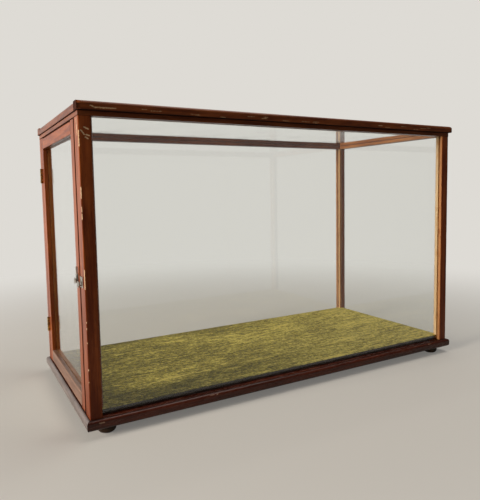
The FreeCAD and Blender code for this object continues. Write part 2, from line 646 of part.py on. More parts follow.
knob_radius = KNOB_DIAMETER / 2
knob_neck = KNOB_NECK_DIAMETER / 2
neck_top = TONGUE_OUTER + KNOB_COLLAR_LENGTH + KNOB_NECK_LENGTH
knob_brim = neck_top + KNOB_SHOULDER_LENGTH
shoulder_middle = (
    knob_neck + (knob_radius - knob_neck) * DIAGONAL,
    neck_top + KNOB_SHOULDER_LENGTH * (1 - DIAGONAL),
)
knob_outline = [
    (0, -SPINDLE_DEPTH),
    (SPINDLE_DIAMETER / 2, -SPINDLE_DEPTH),
    (SPINDLE_DIAMETER / 2, TONGUE_OUTER),
    (KNOB_COLLAR_DIAMETER / 2, TONGUE_OUTER),
    (KNOB_COLLAR_DIAMETER / 2, TONGUE_OUTER + KNOB_COLLAR_LENGTH),
    (knob_neck, neck_top),
    (shoulder_middle, (knob_radius, knob_brim)),
    dome(knob_radius, knob_brim, KNOB_REACH),
]
save("catch_knob", placed(turned(knob_outline), catch_middle, WAY_OUT))

tongue_inside = catch_middle + WAY_OUT * TONGUE_INNER
tongue_tip = TONGUE_LENGTH - TONGUE_WIDTH / 2
tongue_hub = Part.makeCylinder(TONGUE_HUB_DIAMETER / 2, TONGUE_THICK, tongue_inside, WAY_OUT)
tongue_end = Part.makeCylinder(TONGUE_WIDTH / 2, TONGUE_THICK, tongue_inside + UP * tongue_tip, WAY_OUT)
tongue_bar = box(
    LEFT_X - TONGUE_OUTER, LEFT_X - TONGUE_INNER,
    CATCH_Y - TONGUE_WIDTH / 2, CATCH_Y + TONGUE_WIDTH / 2,
    CATCH_Z, CATCH_Z + tongue_tip,
)
tongue_hole = Part.makeCylinder(
    SPINDLE_DIAMETER / 2 + GLUE_CLEARANCE, TONGUE_THICK, tongue_inside, WAY_OUT
)
save("catch_tongue", one_solid(tongue_hub.fuse([tongue_bar, tongue_end]).cut(tongue_hole)))

# Stiles, cut for the tenons, the butts and the catch
closing_plan = [
    (LEFT_X + CLOSING_ROUND, DOOR_FRONT),
    arc(LEFT_X + CLOSING_ROUND, DOOR_FRONT + CLOSING_ROUND, CLOSING_ROUND, 270, 180),
    (LEFT_X, sight_front),
    (PANE_OUTSIDE, sight_front),
    (PANE_OUTSIDE, rebate_front),
    (DOOR_INSIDE, rebate_front),
    (DOOR_INSIDE, DOOR_FRONT),
]
hinge_plan = [
    (LEFT_X, DOOR_BACK),
    (LEFT_X, sight_back),
    (PANE_OUTSIDE, sight_back),
    (PANE_OUTSIDE, rebate_back),
    (DOOR_INSIDE, rebate_back),
    (DOOR_INSIDE, DOOR_BACK),
]
stiles = {
    "closing": (closing_plan, [spindle_hole] + plate_holes),
    "hinge": (hinge_plan, hinge_stile_cuts),
}
for name, (plan, cuts) in stiles.items():
    stile = outline(plan, lambda x, y: Vector(x, y, DOOR_BOTTOM)).extrude(UP * (DOOR_TOP - DOOR_BOTTOM))
    save("door_stile_" + name, one_solid(stile.cut(door_mortises + cuts)))

# Door pane and the mitred beads that hold it from inside
door_pane = box(
    PANE_OUTSIDE, PANE_INSIDE,
    rebate_front + GLASS_EDGE_CLEARANCE, rebate_back - GLASS_EDGE_CLEARANCE,
    rebate_bottom + GLASS_EDGE_CLEARANCE, rebate_top - GLASS_EDGE_CLEARANCE,
)
save("glass_door", door_pane)
bead_outer = [
    (rebate_front, rebate_bottom),
    (rebate_back, rebate_bottom),
    (rebate_back, rebate_top),
    (rebate_front, rebate_top),
]
bead_inner = [
    (sight_front, sight_bottom),
    (sight_back, sight_bottom),
    (sight_back, sight_top),
    (sight_front, sight_top),
]
for index, name in enumerate(("bottom", "hinge", "top", "closing")):
    following = (index + 1) % len(bead_outer)
    corners = (bead_outer[index], bead_outer[following], bead_inner[following], bead_inner[index])
    bead = prism([Vector(PANE_INSIDE, y, z) for y, z in corners], Vector(DOOR_INSIDE - PANE_INSIDE, 0, 0))
    save("door_bead_" + name, bead)
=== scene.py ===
# Glazed counter-top display cabinet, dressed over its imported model.
# Metres, in the model's own frame: +X to the right along the front, +Y to the back, +Z up.
import itertools
import json
import math
import random

import bmesh
import bpy
from mathutils import Matrix, Vector, noise

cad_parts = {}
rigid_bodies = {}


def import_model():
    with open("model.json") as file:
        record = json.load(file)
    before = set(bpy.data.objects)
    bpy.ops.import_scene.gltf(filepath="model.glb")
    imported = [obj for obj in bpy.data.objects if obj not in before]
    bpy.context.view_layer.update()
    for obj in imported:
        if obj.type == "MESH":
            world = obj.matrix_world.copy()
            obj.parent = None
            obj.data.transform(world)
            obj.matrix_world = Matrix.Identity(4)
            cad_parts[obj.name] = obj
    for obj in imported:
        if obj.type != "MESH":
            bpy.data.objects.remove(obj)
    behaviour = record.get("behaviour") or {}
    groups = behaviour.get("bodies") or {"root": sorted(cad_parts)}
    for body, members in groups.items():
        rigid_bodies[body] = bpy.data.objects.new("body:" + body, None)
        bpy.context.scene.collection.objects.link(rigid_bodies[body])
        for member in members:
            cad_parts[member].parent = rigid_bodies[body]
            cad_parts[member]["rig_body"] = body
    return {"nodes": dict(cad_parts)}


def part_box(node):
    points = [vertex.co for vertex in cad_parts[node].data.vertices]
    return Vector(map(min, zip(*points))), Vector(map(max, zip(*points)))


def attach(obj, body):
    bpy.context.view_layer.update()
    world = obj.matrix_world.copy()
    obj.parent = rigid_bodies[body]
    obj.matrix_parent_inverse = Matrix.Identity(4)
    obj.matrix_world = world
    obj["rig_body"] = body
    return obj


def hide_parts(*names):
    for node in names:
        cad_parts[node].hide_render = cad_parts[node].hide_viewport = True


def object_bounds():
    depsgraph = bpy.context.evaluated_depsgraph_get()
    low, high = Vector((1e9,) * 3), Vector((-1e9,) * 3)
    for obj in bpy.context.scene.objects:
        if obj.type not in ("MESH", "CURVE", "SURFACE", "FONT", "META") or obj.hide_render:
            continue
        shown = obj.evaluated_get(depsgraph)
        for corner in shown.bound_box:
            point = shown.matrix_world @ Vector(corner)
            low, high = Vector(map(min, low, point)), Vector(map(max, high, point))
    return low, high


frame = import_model()
cad_low, cad_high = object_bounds()


# Base board: the mahogany plank that posts, panes and floor stand on.
# Planed, stained red-brown and French polished; its ledge shows round the velvet.
# Mahogany gives the eye soft ribbon figure, short dark pores, and pale rubbed arrises.
def linear(code):
    """An sRGB hex value as a linear colour."""
    parts = [int(code[i:i + 2], 16) / 255 for i in (0, 2, 4)]
    return tuple(c / 12.92 if c <= 0.04045 else ((c + 0.055) / 1.055) ** 2.4 for c in parts) + (1.0,)


def add_node(tree, kind, inputs, **settings):
    """A new node with its settings, and each input either linked to a socket or set to a value."""
    made = tree.nodes.new(kind)
    for name, value in settings.items():
        setattr(made, name, value)
    for name, value in inputs.items():
        if isinstance(value, bpy.types.NodeSocket):
            tree.links.new(value, made.inputs[name])
        else:
            made.inputs[name].default_value = value
    return made


def new_material(name):
    """A new material, with its node tree and its shader."""
    material = bpy.data.materials.new(name)
    material.use_nodes = True
    return material, material.node_tree, material.node_tree.nodes["Principled BSDF"]


def polished_wood(name, heart, ribbon, pore, rubbed, raw, rough, shine=0.24):
    """Open-pored hardwood under worn polish. Rough is its roughness where the polish is whole, and shine is
    how strongly it mirrors. Reads the attributes grain, wear_and_light, scar_and_glint and dirt_and_shade
    of the pieces: real wear, scars and dirt, with painted light and glints that pale it and painted shade
    that darkens it."""
    material, tree, shader = new_material(name)
    look = {}
    for label, output in (("grain", "Vector"), ("wear_and_light", "Fac"), ("scar_and_glint", "Fac"), ("dirt_and_shade", "Fac")):
        look[label] = add_node(tree, "ShaderNodeAttribute", {}, attribute_name=label).outputs[output]
    # Length of the spots along the grain, their width across it, and their detail.
    # Pores are about 0.2 mm wide; they are drawn at 0.7 mm so that they show
    spots = {
        "figure": (0.09, 0.006, 4.0),
        "stain": (0.16, 0.05, 3.0),
        "pores": (0.012, 0.0007, 2.0),
        "scuffs": (0.03, 0.0012, 3.0),
        "patches": (0.022, 0.004, 5.0),
    }
    for label, (length, width, detail) in spots.items():
        inputs = {0: look["grain"], 1: (1 / length, 1 / width, 1 / width)}
        stretched = add_node(tree, "ShaderNodeVectorMath", inputs, operation="MULTIPLY").outputs[0]
        inputs = {"Vector": stretched, "Scale": 1.0, "Detail": detail, "Roughness": 0.6}
        look[label] = add_node(tree, "ShaderNodeTexNoise", inputs).outputs["Fac"]
    # Sums: what is added, its weight, and what it is added to
    sums = {
        "ribbons": ("stain", 0.8, "figure"),
        "worn_and_lit": ("wear_and_light", 0.75, "patches"),
        "dirt_and_shade_share": ("dirt_and_shade", 0.85, 0.0),
    }
    for label, (added, weight, base) in sums.items():
        inputs = {0: look[added], 1: weight, 2: look.get(base, base)}
        look[label] = add_node(tree, "ShaderNodeMath", inputs, operation="MULTIPLY_ADD").outputs[0]
    # Where each starts to show, where it shows in full, and its share of the colour there
    shown = {
        "ribbons": (0.62, 1.18, 1.0),
        "pores": (0.56, 0.72, 0.6),
        "scuffs": (0.68, 0.76, 0.3),
        "worn_and_lit": (1.16, 1.42, 1.0),
    }
    for label, (low, high, most) in shown.items():
        inputs = {"Value": look[label], "From Min": low, "From Max": high, "To Max": most}
        eased = add_node(tree, "ShaderNodeMapRange", inputs, interpolation_type="SMOOTHSTEP")
        look[label] = eased.outputs["Result"]
    colour = linear(heart)
    layers = [("ribbons", ribbon), ("pores", pore), ("scuffs", rubbed)]
    layers += [("worn_and_lit", rubbed), ("scar_and_glint", raw), ("dirt_and_shade_share", pore)]
    for label, over in layers:
        inputs = {0: look[label], 6: colour, 7: linear(over)}
        colour = add_node(tree, "ShaderNodeMix", inputs, data_type="RGBA").outputs[2]
    tree.links.new(colour, shader.inputs["Base Color"])
    roughness = rough
    for label, weight in (("patches", 0.22), ("worn_and_lit", 0.12), ("dirt_and_shade", 0.5)):
        inputs = {0: look[label], 1: weight, 2: roughness}
        roughness = add_node(tree, "ShaderNodeMath", inputs, operation="MULTIPLY_ADD").outputs[0]
    tree.links.new(roughness, shader.inputs["Roughness"])
    inputs = {0: look["figure"], 1: look["pores"]}
    relief = add_node(tree, "ShaderNodeMath", inputs, operation="SUBTRACT").outputs[0]
    bump = add_node(tree, "ShaderNodeBump", {"Height": relief, "Distance": 0.0001, "Strength": 0.5})
    tree.links.new(bump.outputs[0], shader.inputs["Normal"])
    shader.inputs["IOR"].default_value = 1.5
    shader.inputs["Specular IOR Level"].default_value = shine
    return material


mahogany = polished_wood(
    "french_polished_mahogany",
    heart="6c2c10", ribbon="a65626", pore="2a0e05", rubbed="c88f5f", raw="efcfa6", rough=0.22,
)
# The base is the same wood, blackened by old stain and dust
base_mahogany = polished_wood(
    "blackened_mahogany",
    heart="3c160b", ribbon="662a15", pore="180805", rubbed="93603f", raw="a98870", rough=0.16, shine=0.36,
)

X_AXIS, Y_AXIS, Z_AXIS = 0, 1, 2
SHARP_ANGLE = math.radians(40)
# Points this near are one, are on a cut, or are on a face
WELD, CUT_TOLERANCE, ON_FACE = 2e-6, 1e-6, 2e-5
# How far round a scar the wood gets points, in half widths
SCAR_MARGIN = 2
case_middle = (cad_low + cad_high) / 2
wood_numbers = itertools.count(1)


def merged_copy(node):
    """A CAD node's mesh to work on, with its loose triangles joined."""
    shape = bmesh.new()
    shape.from_mesh(frame["nodes"][node].data)
    bmesh.ops.remove_doubles(shape, verts=shape.verts, dist=WELD)
    return shape


def plain_copy(node):
    """The same, with the triangles of each flat face made one."""
    shape = merged_copy(node)
    flat = math.radians(0.5)
    bmesh.ops.dissolve_limit(shape, angle_limit=flat, verts=shape.verts, edges=shape.edges)
    return shape


def round_edges(shape, edges, size, segments):
    """Rounds edges over, this far to each side."""
    bmesh.ops.bevel(
        shape, geom=edges, offset=size, offset_type="OFFSET", segments=segments, profile=0.5,
        affect="EDGES", clamp_overlap=True,
    )


def put_in_order(shape):
    """Sorts points by place and faces by points, because rounding leaves them in no fixed order."""
    points = sorted(shape.verts, key=lambda vert: vert.co[:])
    ranks = {vert: rank for rank, vert in enumerate(points)}
    shape.verts.sort(key=lambda vert: ranks[vert])
    shape.verts.index_update()
    faces = sorted(shape.faces, key=lambda face: sorted(vert.index for vert in face.verts))
    ranks = {face: rank for rank, face in enumerate(faces)}
    shape.faces.sort(key=lambda face: ranks[face])


def smooth_mesh(shape, name, material, crease=SHARP_ANGLE):
    """The worked shape as a mesh, smooth but for its creases."""
    put_in_order(shape)
    mesh = bpy.data.meshes.new(name)
    shape.to_mesh(mesh)
    shape.free()
    mesh.shade_smooth()
    mesh.set_sharp_from_angle(angle=crease)
    mesh.materials.append(material)
    return mesh


def new_piece(mesh):
    """An object for the mesh, with its name, in the scene."""
    piece = bpy.data.objects.new(mesh.name, mesh)
    bpy.context.scene.collection.objects.link(piece)
    return piece


def stand_for(piece, node):
    """The piece takes a CAD node's place and rides on its body."""
    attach(piece, frame["nodes"][node]["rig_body"])
    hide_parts(node)


def unit(axis):
    """The direction of an axis."""
    return Vector([float(axis == i) for i in range(3)])


def slice_up(shape, faces, axis, places):
    """Splits faces across one axis at each place, from low to high; what lies beyond is split on."""
    way = unit(axis)
    for place in sorted(places):
        edges = {edge for face in faces for edge in face.edges}
        around = list({vert for edge in edges for vert in edge.verts}) + list(edges) + list(faces)
        done = bmesh.ops.bisect_plane(
            shape, geom=around, dist=CUT_TOLERANCE, plane_co=way * place, plane_no=way
        )
        faces = [
            item for item in done["geom"] if isinstance(item, bmesh.types.BMFace)
            and max(vert.co[axis] for vert in item.verts) > place + CUT_TOLERANCE
        ]


def plane_key(at, normal):
    """A key that planes share where they agree to a tenth of a millimetre."""
    return tuple(round(x, 4) for x in (*normal, at.dot(normal)))


def long_arrises(shape, way, rub):
    """Finds the outer edges along the grain. Gives the edges; the middle, half length, outward way and wear
    of each; and the planes where its rubbed width ends."""
    shortest, least_parallel, least_outward = 0.012, 0.999, 0.1
    full_wear, inside_wear = 1.0, 0.4
    edges, lines, planes = [], [], {}
    for edge in shape.edges:
        run = edge.verts[1].co - edge.verts[0].co
        if len(edge.link_faces) != 2 or run.length < shortest:
            continue
        if abs(run.normalized().dot(way)) < least_parallel or edge.calc_face_angle_signed() < SHARP_ANGLE:
            continue
        normals = [face.normal.copy() for face in edge.link_faces]
        middle = (edge.verts[0].co + edge.verts[1].co) / 2
        outward = (normals[0] + normals[1]).normalized()
        exposed = outward.dot((middle - case_middle).normalized()) > least_outward
        edges.append(edge)
        lines.append((middle, run.length / 2, outward, full_wear if exposed else inside_wear))
        for normal in normals:
            at = middle - normal * rub
            planes[plane_key(at, normal)] = (at, normal)
    return edges, lines, list(planes.values())


def joint_ends(shape, way, sides):
    """The end faces on these sides, each as a point and its normal."""
    least_facing, least_area = 0.5, 2e-5
    ends = {}
    for face, side in itertools.product(shape.faces, sides):
        if face.normal.dot(way) * side > least_facing and face.calc_area() > least_area:
            at = face.calc_center_median()
            ends[plane_key(at, face.normal)] = (at, face.normal.copy())
    return list(ends.values())


def slice_for_scars(shape, scars):
    """Gives the faces round each scar enough points to show it."""
    for start, end, half_width, depth in scars:
        margin, spacing = SCAR_MARGIN * half_width, 0.5 * half_width
        reach = [(min(a, b) - margin, max(a, b) + margin) for a, b in zip(start, end)]
        for axis, (first, last) in enumerate(reach):
            near = []
            for face in shape.faces:
                spans = [[vert.co[i] for vert in face.verts] for i in range(3)]
                if all(min(s) < high and max(s) > low for s, (low, high) in zip(spans, reach)):
                    near.append(face)
            count = math.ceil((last - first) / spacing)
            slice_up(shape, near, axis, [first + spacing * i for i in range(count)])


def scar_amount(place, start, end, half_width):
    """How far a point lies in a scar with frayed sides, from 1 on its line to 0 outside."""
    fray, fray_frequency = 0.6, 700.0
    start = Vector(start)
    run = Vector(end) - start
    share = (place - start).dot(run) / run.length_squared
    distance = (place - start - run * min(1.0, max(0.0, share))).length
    if distance >= 1.5 * half_width:
        return 0.0
    return max(0.0, 1 - distance / half_width * (1 + fray * noise.noise(place * fray_frequency)))


def timber(
    node, along, material, arris=0.001, rub=0.002, seams=(), scars=(), darkened_faces=(), lit_faces=(),
    low_shade_height=0.0, step=0.012,
):
    """Stands for a CAD length of wood: its long arrises rounded and rubbed, its grain along one axis.
    Seams are the ends, -1 or 1, where dirt marks a joint. A scar is a line from point to point,
    with its half width and its depth. Darkened faces are painted darker, mostly as painted shade in gaps
    and under the rim, and lit faces toward the window are painted paler, as painted light.
    Painted shade darkens the low end up to a height. Points come at every step along it."""
    way = unit(along)
    low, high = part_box(node)
    shape = plain_copy(node)
    edges, lines, planes = long_arrises(shape, way, rub)
    ends = joint_ends(shape, way, seams)
    round_edges(shape, edges, arris, segments=3)
    seam_width = 0.0008
    for at, normal in planes + [(at - normal * seam_width, normal) for at, normal in ends]:
        around = shape.verts[:] + shape.edges[:] + shape.faces[:]
        bmesh.ops.bisect_plane(shape, geom=around, dist=CUT_TOLERANCE, plane_co=at, plane_no=normal)
    stations = [low[along] + step * (i + 0.5) for i in range(int((high[along] - low[along]) / step))]
    for start, end, half_width, depth in scars:
        margin = SCAR_MARGIN * half_width
        stations += [start[along] - margin, end[along] + margin]
    slice_up(shape, shape.faces[:], along, stations)
    slice_for_scars(shape, scars)
    grain = shape.verts.layers.float_vector.new("grain")
    wear_and_light, scar_and_glint, dirt_and_shade = (shape.verts.layers.float.new(label) for label in ("wear_and_light", "scar_and_glint", "dirt_and_shade"))
    # Each piece has another part of the figure
    figure_shift = Vector((1.37, 0.113, 0.071)) * next(wood_numbers)
    across = [axis for axis in range(3) if axis != along]
    # Painted light: above 1, so that the whole lit face shows the rubbed colour
    lit_face_paleness = 1.25
    most_low_shade = 0.35
    darkened_reach, nick_reach = 1.05 * arris, 1.2 * arris
    nick_frequency, nick_depth = 70.0, 0.0004
    scar_gain, most_scar = 1.8, 0.95
    shape.normal_update()
    for vert in shape.verts:
        place = vert.co.copy()
        vert[grain] = Vector((place[along], place[across[0]], place[across[1]])) + figure_shift
        if any(abs((place - at).dot(normal)) < ON_FACE for at, normal in ends):
            vert[dirt_and_shade] = 1.0
        # Painted shade: faces in gaps and under the rim are darkened, and a few tops and ends too
        for axis, side in darkened_faces:
            if abs(place[axis] - (low, high)[side > 0][axis]) < darkened_reach:
                vert[dirt_and_shade] = 1.0
        # Painted shade: darker towards the low end, up to the given height
        if low_shade_height:
            vert[dirt_and_shade] = max(vert[dirt_and_shade], most_low_shade * (1 - (place[along] - low[along]) / low_shade_height))
        # Painted light: faces toward the window get the pale rubbed colour all over
        for axis, side in lit_faces:
            if abs(place[axis] - (low, high)[side > 0][axis]) < ON_FACE:
                vert[wear_and_light] = lit_face_paleness
        for middle, half_length, outward, weight in lines:
            offset = place - middle
            beyond = max(0.0, abs(offset.dot(way)) - half_length)
            distance = math.hypot((offset - way * offset.dot(way)).length, beyond)
            vert[wear_and_light] = max(vert[wear_and_light], weight * (1 - distance / rub))
            if distance < nick_reach and weight == 1.0:
                vert.co -= outward * max(0.0, noise.noise(place * nick_frequency)) * nick_depth
        for start, end, half_width, depth in scars:
            amount = scar_amount(place, start, end, half_width)
            vert[scar_and_glint] = max(vert[scar_and_glint], min(most_scar, scar_gain * amount))
            vert.co -= vert.normal * depth * amount
    piece = new_piece(smooth_mesh(shape, "worn_" + node, material))
    piece.modifiers.new("even faces", "WEIGHTED_NORMAL").keep_sharp = True
    stand_for(piece, node)


timber("base_board", X_AXIS, base_mahogany, arris=0.0003)

# Base moulding: four mitred lengths of half-round mahogany, planted on the board's edges.
# A quirk runs along the joint; the nose is knocked and chipped where it meets the counter.
BOTH_ENDS = (-1, 1)
# Faces of a piece, each an axis and a side
LEFT, FRONT, BACK = (X_AXIS, -1), (Y_AXIS, -1), (Y_AXIS, 1)
UNDER, TOP = (Z_AXIS, -1), (Z_AXIS, 1)
base_nose = cad_low.y + 0.0004
# Knocks: start, end, half width and depth of each
base_knocks = [
    ((-0.3450, base_nose, 0.0225), (-0.3390, base_nose, 0.0222), 0.0012, 0.0006),
    ((-0.1780, base_nose, 0.0250), (-0.1720, base_nose, 0.0252), 0.0010, 0.0006),
    ((-0.1670, base_nose, 0.0240), (-0.1645, base_nose, 0.0252), 0.0009, 0.0005),
    ((0.3010, base_nose, 0.0250), (0.3090, base_nose, 0.0254), 0.0010, 0.0006),
]
# The length under the door is greyed, partly by dust and partly as a painted sheen of the light it mirrors
dust_and_sheen_mahogany = polished_wood(
    "dusty_mahogany_with_painted_sheen",
    heart="635855", ribbon="877c7a", pore="332927", rubbed="a0928c", raw="b5a8a2", rough=0.3, shine=0.8,
)
sides = {"front": X_AXIS, "right": Y_AXIS, "back": X_AXIS, "left": Y_AXIS}
for side, along in sides.items():
    # All but the left length are darkened along their top edge
    timber(
        "base_moulding_" + side, along, dust_and_sheen_mahogany if side == "left" else base_mahogany,
        arris=0.0003, rub=0.0012, seams=BOTH_ENDS,
        scars=base_knocks if side == "front" else (),
        darkened_faces=() if side == "left" else (TOP,),
    )

# Feet: four small buns turned from a dark stained hardwood, spigoted into the base board.
# Stained almost black and waxed, so that they show only a dull shine on their round.
bun_wood = polished_wood(
    "dark_stained_turned_wood",
    heart="2a1d15", ribbon="4a3626", pore="140d09", rubbed="6b5138", raw="8a6f4e", rough=0.34,
)
corners = ("front_left", "front_right", "rear_left", "rear_right")
for corner in corners:
    timber("foot_" + corner, Z_AXIS, bun_wood, arris=0.0005, step=0.0015)

# Floor board: a thin sawn deal board that lies between the panes, under the velvet.
# Only its edge can be seen, through the panes above the ledge; its near-black colour is painted shade.
deal = polished_wood(
    "shade_dark_deal_board",
    heart="1c1612", ribbon="2b221a", pore="120d0a", rubbed="3c2f22", raw="6b5537", rough=0.5,
)
timber("floor_board", X_AXIS, deal, arris=0.0003)

# Velvet: one cut of olive-gold furnishing velvet, glued over the floor board.
# The old pile is crushed and rucked, so it gives streaks of light and dark and a pale edge glow.
velvet, tree, shader = new_material("crushed_olive_velvet")
place = add_node(tree, "ShaderNodeTexCoord", {}).outputs["Object"]
# Painted light: the colour grows brighter steadily towards the right end
along_floor = add_node(tree, "ShaderNodeSeparateXYZ", {"Vector": place}).outputs["X"]
pile_and_light = add_node(tree, "ShaderNodeMath", {0: along_floor, 1: 0.3}, operation="MULTIPLY").outputs[0]
# Painted highlight: the crests of the rucks are made paler, where their pile would catch the light
ruck_highlights = add_node(tree, "ShaderNodeAttribute", {}, attribute_name="ruck_highlight").outputs["Fac"]
pile_and_light = add_node(tree, "ShaderNodeMath", {0: ruck_highlights, 1: 0.3, 2: pile_and_light}, operation="MULTIPLY_ADD").outputs[0]
bends_per_metre = 14.0
inputs = {"Vector": place, "Scale": bends_per_metre, "Detail": 2.0}
slow = add_node(tree, "ShaderNodeTexNoise", inputs).outputs["Color"]
# Length along the cabinet, width across it, detail, how far the slow noise bends it, and weight.
# Pile tufts are about 0.5 mm apart; they are drawn at 4 mm so that they show
pile = {
    "crushed areas": (0.14, 0.05, 3.0, 0.02, 0.6),
    "streaks": (0.030, 0.0060, 4.0, 0.004, 0.9),
    "flecks": (0.0075, 0.0070, 3.0, 0.002, 0.8),
    "tufts": (0.0040, 0.0040, 2.0, 0.0, 0.7),
}
for length, width, detail, bend, weight in pile.values():
    inputs = {0: slow, 1: (bend, bend, 0.0), 2: place}
    bent = add_node(tree, "ShaderNodeVectorMath", inputs, operation="MULTIPLY_ADD").outputs[0]
    inputs = {0: bent, 1: (1 / length, 1 / width, 1 / width)}
    sized = add_node(tree, "ShaderNodeVectorMath", inputs, operation="MULTIPLY").outputs[0]
    inputs = {"Vector": sized, "Scale": 1.0, "Detail": detail, "Roughness": 0.65}
    spots = add_node(tree, "ShaderNodeTexNoise", inputs).outputs["Fac"]
    inputs = {0: spots, 1: weight, 2: pile_and_light}
    pile_and_light = add_node(tree, "ShaderNodeMath", inputs, operation="MULTIPLY_ADD").outputs[0]
# Pile that lies flat is dark, and it grows paler the more it stands and with the painted light added to it
colour = linear("48430f")
for low, high, over in ((1.28, 1.51, "958934"), (1.51, 1.73, "dfcd66")):
    inputs = {"Value": pile_and_light, "From Min": low, "From Max": high}
    share = add_node(tree, "ShaderNodeMapRange", inputs).outputs["Result"]
    inputs = {0: share, 6: colour, 7: linear(over)}
    colour = add_node(tree, "ShaderNodeMix", inputs, data_type="RGBA").outputs[2]
tree.links.new(colour, shader.inputs["Base Color"])
shader.inputs["Roughness"].default_value = 0.9
shader.inputs["Specular IOR Level"].default_value = 0.12
shader.inputs["Sheen Weight"].default_value = 0.3
shader.inputs["Sheen Roughness"].default_value = 0.4
shader.inputs["Sheen Tint"].default_value = linear("c9b76a")
bump = add_node(tree, "ShaderNodeBump", {"Height": pile_and_light, "Distance": 0.0005, "Strength": 0.6})
tree.links.new(bump.outputs[0], shader.inputs["Normal"])

# Rucks: middle point, half length, half width, height and slant of each low fold
rucks = [
    ((-0.045, -0.085), 0.050, 0.0035, 0.0018, 0.05),
    ((-0.130, 0.095), 0.055, 0.0040, 0.0016, -0.06),
    ((0.130, 0.080), 0.035, 0.0035, 0.0016, 0.05),
    ((0.170, -0.075), 0.045, 0.0040, 0.0018, 0.04),
    ((-0.215, -0.090), 0.040, 0.0035, 0.0016, 0.08),
]
chance = random.Random(11)
for i in range(12):
    middle = (chance.uniform(-0.29, 0.30), chance.uniform(-0.120, 0.120))
    half_length, half_width = chance.uniform(0.020, 0.060), chance.uniform(0.0028, 0.0045)
    height, slant = chance.uniform(0.0004, 0.0010), chance.uniform(-0.12, 0.12)
    rucks.append((middle, half_length, half_width, height, slant))
velvet_low, velvet_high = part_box("floor_velvet")
grid_step = {X_AXIS: 0.004, Y_AXIS: 0.0025}
shape = plain_copy("floor_velvet")
for axis, spacing in grid_step.items():
    count = int((velvet_high[axis] - velvet_low[axis]) / spacing)
    slice_up(shape, shape.faces[:], axis, [velvet_low[axis] + spacing * i for i in range(1, count)])
ruck_highlight = shape.verts.layers.float.new("ruck_highlight")
full_highlight_height = 0.0016
ripple, ripples_along, ripples_across = 0.0002, 60.0, 90.0
waver, wavers_along = 0.004, 40.0
for vert in shape.verts:
    if vert.co.z < velvet_high.z - ON_FACE:
        continue
    x, y = vert.co.x, vert.co.y
    lift = 0.0
    for (ruck_x, ruck_y), half_length, half_width, height, slant in rucks:
        lengthwise = (x - ruck_x) / half_length
        sway = waver * noise.noise(Vector((x * wavers_along, ruck_y, 0.0)))
        line_y = ruck_y + slant * (x - ruck_x) + sway
        crosswise = (y - line_y) / half_width
        if abs(lengthwise) < 1:
            lift += height * (1 - lengthwise ** 2) ** 2 * math.exp(-crosswise ** 2)
    vert[ruck_highlight] = min(1.0, lift / full_highlight_height)
    unevenness = noise.noise(Vector((x * ripples_along, y * ripples_across, 0.0)))
    vert.co.z += lift + ripple * unevenness - ripple
velvet_floor = new_piece(smooth_mesh(shape, "velvet_floor", velvet, crease=math.radians(50)))
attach(velvet_floor, "case")
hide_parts("floor_velvet")

# Corner posts: four upright mahogany bars, rebated for the panes and screwed from below.
# Their outer arrises are rubbed pale by handling, and the front left one is bruised near its top.
# Painted light makes the two at the right paler on the faces toward the window; painted shade darkens all
# four towards their low ends, and the front left one in the gap by the door.
post_x, post_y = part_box("post_front_left")[0][:2]
post_scars_and_glints = [
    ((post_x + 0.0031, post_y, 0.4134), (post_x + 0.0073, post_y, 0.4085), 0.0011, 0.0004),
    ((post_x + 0.0098, post_y, 0.4080), (post_x + 0.0136, post_y, 0.4069), 0.0011, 0.0004),
    ((post_x + 0.0090, post_y, 0.4047), (post_x + 0.0122, post_y, 0.4029), 0.0011, 0.0004),
    ((post_x + 0.0077, post_y, 0.4175), (post_x + 0.0127, post_y, 0.4152), 0.0011, 0.0003),
]
# Its outer arris has rubbed lengths above, which also stand for painted glints of light on it, and small
# chips below: top and bottom of each
rubbed_and_glinting_lengths = [(0.413, 0.393), (0.340, 0.326), (0.314, 0.308), (0.305, 0.298), (0.231, 0.206)]
chips = [(0.1615, 0.1605), (0.1530, 0.1515), (0.1335, 0.1325), (0.0970, 0.0955), (0.0795, 0.0790)]
arris_x, arris_y = post_x + 0.0003, post_y + 0.0003
for marks, half_width in ((rubbed_and_glinting_lengths, 0.0008), (chips, 0.0006)):
    for top, bottom in marks:
        post_scars_and_glints.append(((arris_x, arris_y, top), (arris_x, arris_y, bottom), half_width, 0.0003))
# A pale mark on the face beside the door, below the rail: a scrape that is also a painted highlight
post_scars_and_glints.append(((post_x, post_y + 0.0100, 0.429), (post_x, post_y + 0.0085, 0.408), 0.0014, 0.0003))
for corner in corners:
    timber(
        "post_" + corner, Z_AXIS, mahogany, seams=BOTH_ENDS, low_shade_height=0.07,
        scars=post_scars_and_glints if corner == "front_left" else (),
        darkened_faces=(BACK,) if corner == "front_left" else (),
        lit_faces=(LEFT,) if corner.endswith("right") else (),
    )

# Corner beads and door stop: slim mahogany strips pinned inside the posts.
# The beads hold the panes and are paler than the posts; the door shuts against the stop.
# That paleness is painted light: the front beads are pale, and the rear ones a lighter amber, where the
# window lights them.
pale_mahogany = polished_wood(
    "lit_pale_mahogany_bead",
    heart="cb8a4c", ribbon="ecb67c", pore="80502a", rubbed="f0d2a8", raw="dfc09a", rough=0.3,
)
amber_mahogany = polished_wood(
    "amber_mahogany",
    heart="8a5229", ribbon="b87d4a", pore="4e2a14", rubbed="d3a878", raw="dfc09a", rough=0.3,
)
SLIM_ARRIS = 0.0006
for corner in corners:
    timber(
        "corner_bead_" + corner, Z_AXIS, pale_mahogany if corner.startswith("front") else amber_mahogany,
        arris=SLIM_ARRIS, lit_faces=(LEFT,) if corner.endswith("right") else (),
    )
# Painted shade: the stop's face toward the window, seen down the gap at the door's edge, is darkened
timber("door_stop", Z_AXIS, mahogany, arris=SLIM_ARRIS, darkened_faces=(LEFT,))

